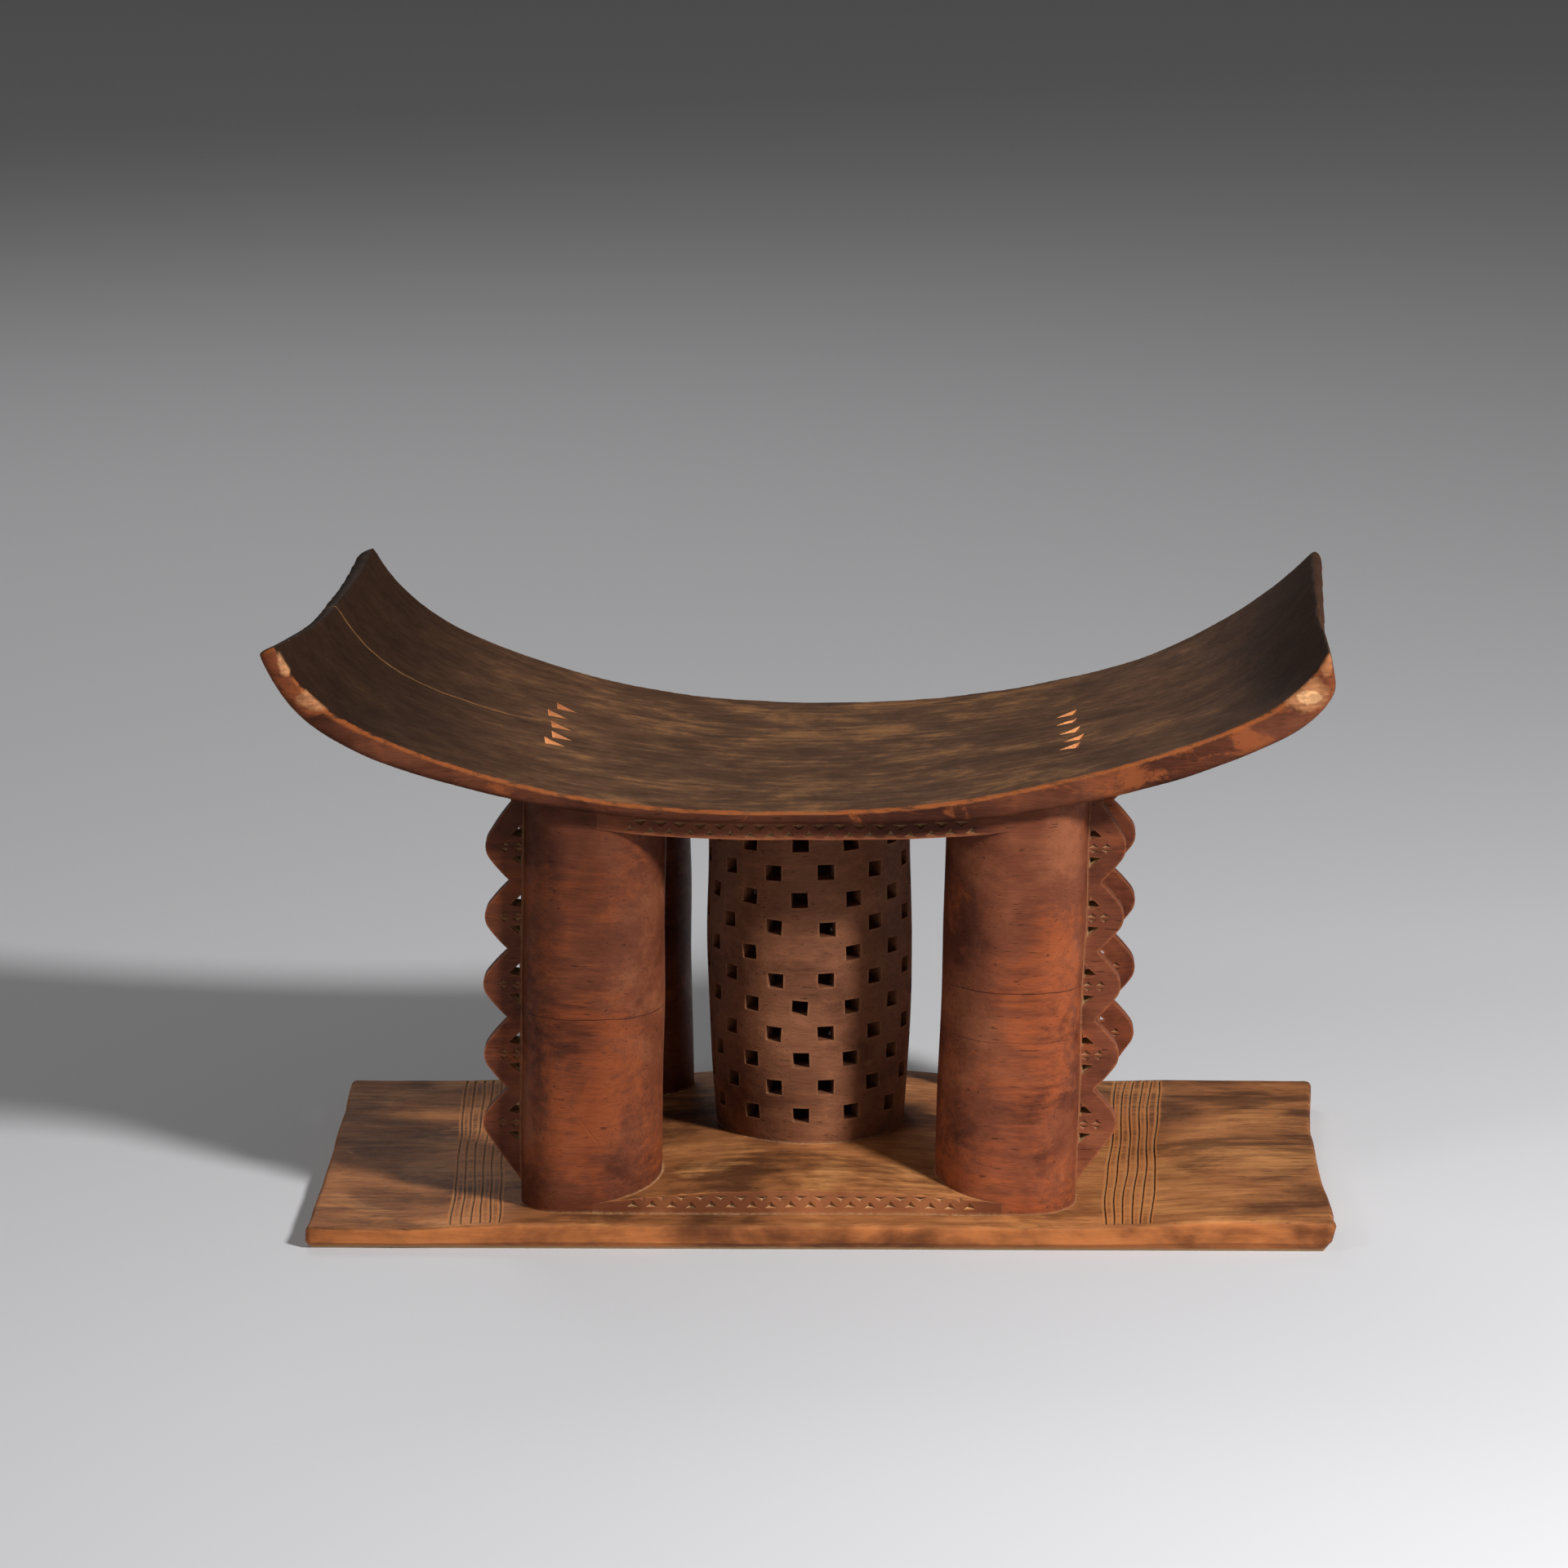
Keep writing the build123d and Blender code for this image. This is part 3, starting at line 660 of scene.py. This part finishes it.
def seat_marks(f, body, cloud, bands):
    """The dark top with its golden streaks, the long crack, the worn edges and the two bare corners."""
    px, py, pz = f.split(f.place)
    facing = f.facing()
    upward = f.ramp(facing[2], 0.12, 0.36)
    soot = f.noise(f.stretch(f.place, (0.7, 1.0, 1.0), (0.7, 0.2, 0.1)), 30.0, 7.0, 0.7, 0.3)
    streaks = f.maths("MULTIPLY_ADD", bands, 0.3, f.times(soot, 0.7))
    top = f.blend(f.ramp(streaks, 0.36, 0.64), tone(70, 47, 32), tone(102, 71, 49))
    centre = f.ramp(f.off(px, 0.02), 0.25, 0.05, -0.1, 0.0)
    gold = f.maths("ADD", f.maths("MULTIPLY_ADD", bands, 0.4, soot), centre)
    top = f.blend(f.ramp(gold, 0.68, 0.94, 0.0, 0.9), top, tone(140, 97, 58))
    left_end, right_end = f.ramp(px, -0.12, -0.26, 0.0, 0.85), f.ramp(px, 0.20, 0.28, 0.0, 0.75)
    top = f.blend(left_end, top, tone(32, 19, 13))
    top = f.blend(right_end, top, tone(58, 38, 29))
    top = f.shaded(top, f.ramp(bands, 0.34, 0.66, 0.92, 1.06))
    body = f.blend(upward, body, top)

    # Rubbed orange along the front, and most in its right half.
    orange = f.noise(f.stretch(f.place, (0.5, 1.0, 1.0), (0.3, 0.0, 0.9)), 48.0, 5.0, 0.7, 0.4)
    right_half = f.ramp(px, -0.05, 0.22, 0.0, 0.12)
    wear_and_painted_light = f.ramp(f.maths("ADD", orange, right_half), 0.60, 0.70, 0.0, 0.55)
    front = f.ramp(facing[1], -0.35, -0.6)
    body = f.blend(f.times(wear_and_painted_light, front), body, tone(156, 84, 46))

    # The thin line where the top's edge is worn through.
    ragged = f.noise(f.stretch(f.place, (0.3, 1.0, 1.0)), 260.0, 4.0, 0.7)
    near_edge = f.ramp(f.off(py, 0.0), 0.1300, 0.1350)
    line = f.times(f.ramp(f.maths("MULTIPLY_ADD", near_edge, 0.5, ragged), 0.76, 1.0), upward)
    body = f.blend(f.times(line, 0.75), body, tone(152, 82, 41))

    for (ax, ay), (bx, by) in zip(CRACK_PATH, CRACK_PATH[1:]):
        slope = (by - ay) / (bx - ax)
        bent_y = f.maths("MULTIPLY_ADD", px, -slope, f.maths("MULTIPLY_ADD", ragged, -3 * MM, py))
        away = f.off(bent_y, (ay - slope * ax - 1.5) * MM)
        half = (bx - ax) / 2 * MM
        inside = f.ramp(f.off(px, (ax + bx) / 2 * MM), half + 0.4 * MM, half - 0.4 * MM)
        thin = f.times(f.ramp(away, 1.1 * MM, 0.3 * MM), f.times(inside, upward))
        body = f.blend(f.times(thin, 0.8), body, tone(140, 98, 60))

    splinters = f.ramp(f.noise(f.stretch(f.place, (0.35, 1.0, 1.0)), 330.0, 4.0, 0.7), 0.40, 0.62)
    for cx, cz, half_x, half_z, most, pale in BARE_CORNERS:
        dx = f.maths("DIVIDE", f.maths("SUBTRACT", px, cx * MM), half_x * MM)
        dz = f.maths("DIVIDE", f.maths("SUBTRACT", pz, cz * MM), half_z * MM)
        apart = f.maths("SQRT", f.maths("MULTIPLY_ADD", dx, dx, f.times(dz, dz)))
        torn = f.maths("MULTIPLY_ADD", f.noise(f.place, 130.0, 5.0, 0.7), 0.9, apart)
        share = f.times(f.ramp(torn, 1.5, 1.15, 0.0, most), f.ramp(facing[1], -0.1, -0.4))
        bare = f.blend(pale, tone(156, 98, 62), tone(226, 170, 120))
        bare = f.shaded(bare, f.ramp(splinters, 0.0, 1.0, 0.66, 1.06))
        body = f.blend(share, body, bare)
    return body


seat_wood = aged_wood(
    "seat wood",
    tones=(tone(60, 32, 23), tone(82, 45, 31), tone(106, 61, 42)),
    glow=tone(132, 70, 42),
    worn=tone(148, 81, 43),
    dust=tone(120, 96, 70),
    roughness=0.6,
    wear=0.6,
    dusty=0.3,
    stains=0.2,
    gleam=0.05,
    figure=0.3,
    edge_reach=1.6,
    more=seat_marks,
)
cut_wood = aged_wood(
    "cut wood",
    tones=(tone(164, 98, 60), tone(212, 140, 88), tone(226, 160, 108)),
    glow=tone(222, 150, 94),
    worn=tone(214, 150, 100),
    dust=tone(150, 110, 76),
    roughness=0.6,
    wear=0.0,
    dusty=0.0,
    stains=0.1,
)
seat.data.materials.append(seat_wood)
chips = seat_nicks(seat)
chips.data.materials.append(cut_wood)
nicked = seat.modifiers.new("nicks", "BOOLEAN")
nicked.operation, nicked.object, nicked.solver = "DIFFERENCE", chips, "EXACT"
nicked.material_mode = "TRANSFER"
as_built(seat)
bpy.data.objects.remove(chips)
crease_sharp_edges(seat, SEAT_CREASE)
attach(seat, "root")
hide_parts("seat")


# Room: a plain pale floor of studio paper, a soft lamp to the right of the front, faint ones to the left and
# behind, and a little even light from all round. The camera stands far off, a little above the seat.

FLOOR_HALF = 14
RIGHT_POWER, LEFT_POWER, BACK_POWER, ROOM_LIGHT = 76, 7, 15, 0.08
CAMERA_PLACE = (0.0698, -3.7759, 1.1789)
CAMERA_TURN, CAMERA_TILT, CAMERA_ROLL = 1.261, 76, -0.169
floor_mesh = bpy.data.meshes.new("floor")
bm = bmesh.new()
bmesh.ops.create_grid(bm, x_segments=1, y_segments=1, size=FLOOR_HALF)
bm.to_mesh(floor_mesh)
bm.free()
floor = bpy.data.objects.new("floor", floor_mesh)
bpy.context.scene.collection.objects.link(floor)
floor_finish = Finish("floor paper")
floor_finish.shader.inputs["Base Color"].default_value = tone(206, 206, 208)
floor_finish.shader.inputs["Roughness"].default_value = 0.9
floor.data.materials.append(floor_finish.material)


def soft_lamp(name, place, aim, size, power):
    lamp = bpy.data.lights.new(name, "AREA")
    lamp.shape, lamp.size, lamp.energy = "DISK", size, power
    holder = bpy.data.objects.new(name, lamp)
    holder.location = place
    holder.rotation_euler = (Vector(aim) - Vector(place)).to_track_quat("-Z", "Y").to_euler()
    bpy.context.scene.collection.objects.link(holder)


soft_lamp("right lamp", (1.50, -1.38, 1.60), (0, 0, 0.15), 0.36, RIGHT_POWER)
soft_lamp("left lamp", (-1.48, -1.42, 1.50), (0, 0, 0.15), 0.5, LEFT_POWER)
soft_lamp("back lamp", (-0.8, 2.4, 2.2), (0, 0, 0.2), 1.2, BACK_POWER)
world = bpy.data.worlds.new("room")
world.use_nodes = True
world.node_tree.nodes["Background"].inputs["Color"].default_value = (1, 1, 1, 1)
world.node_tree.nodes["Background"].inputs["Strength"].default_value = ROOM_LIGHT
bpy.context.scene.world = world

camera_data = bpy.data.cameras.new("camera")
camera_data.lens = 153.75
camera_data.sensor_width = 36
camera_data.clip_end = 60
camera = bpy.data.objects.new("camera", camera_data)
camera.matrix_world = Matrix.Translation(CAMERA_PLACE) @ (
    Matrix.Rotation(math.radians(CAMERA_TURN), 4, "Z")
    @ Matrix.Rotation(math.radians(CAMERA_TILT), 4, "X")
    @ Matrix.Rotation(math.radians(CAMERA_ROLL), 4, "Z")
)
bpy.context.scene.collection.objects.link(camera)
bpy.context.scene.camera = camera
bpy.context.scene.view_settings.view_transform = "Standard"
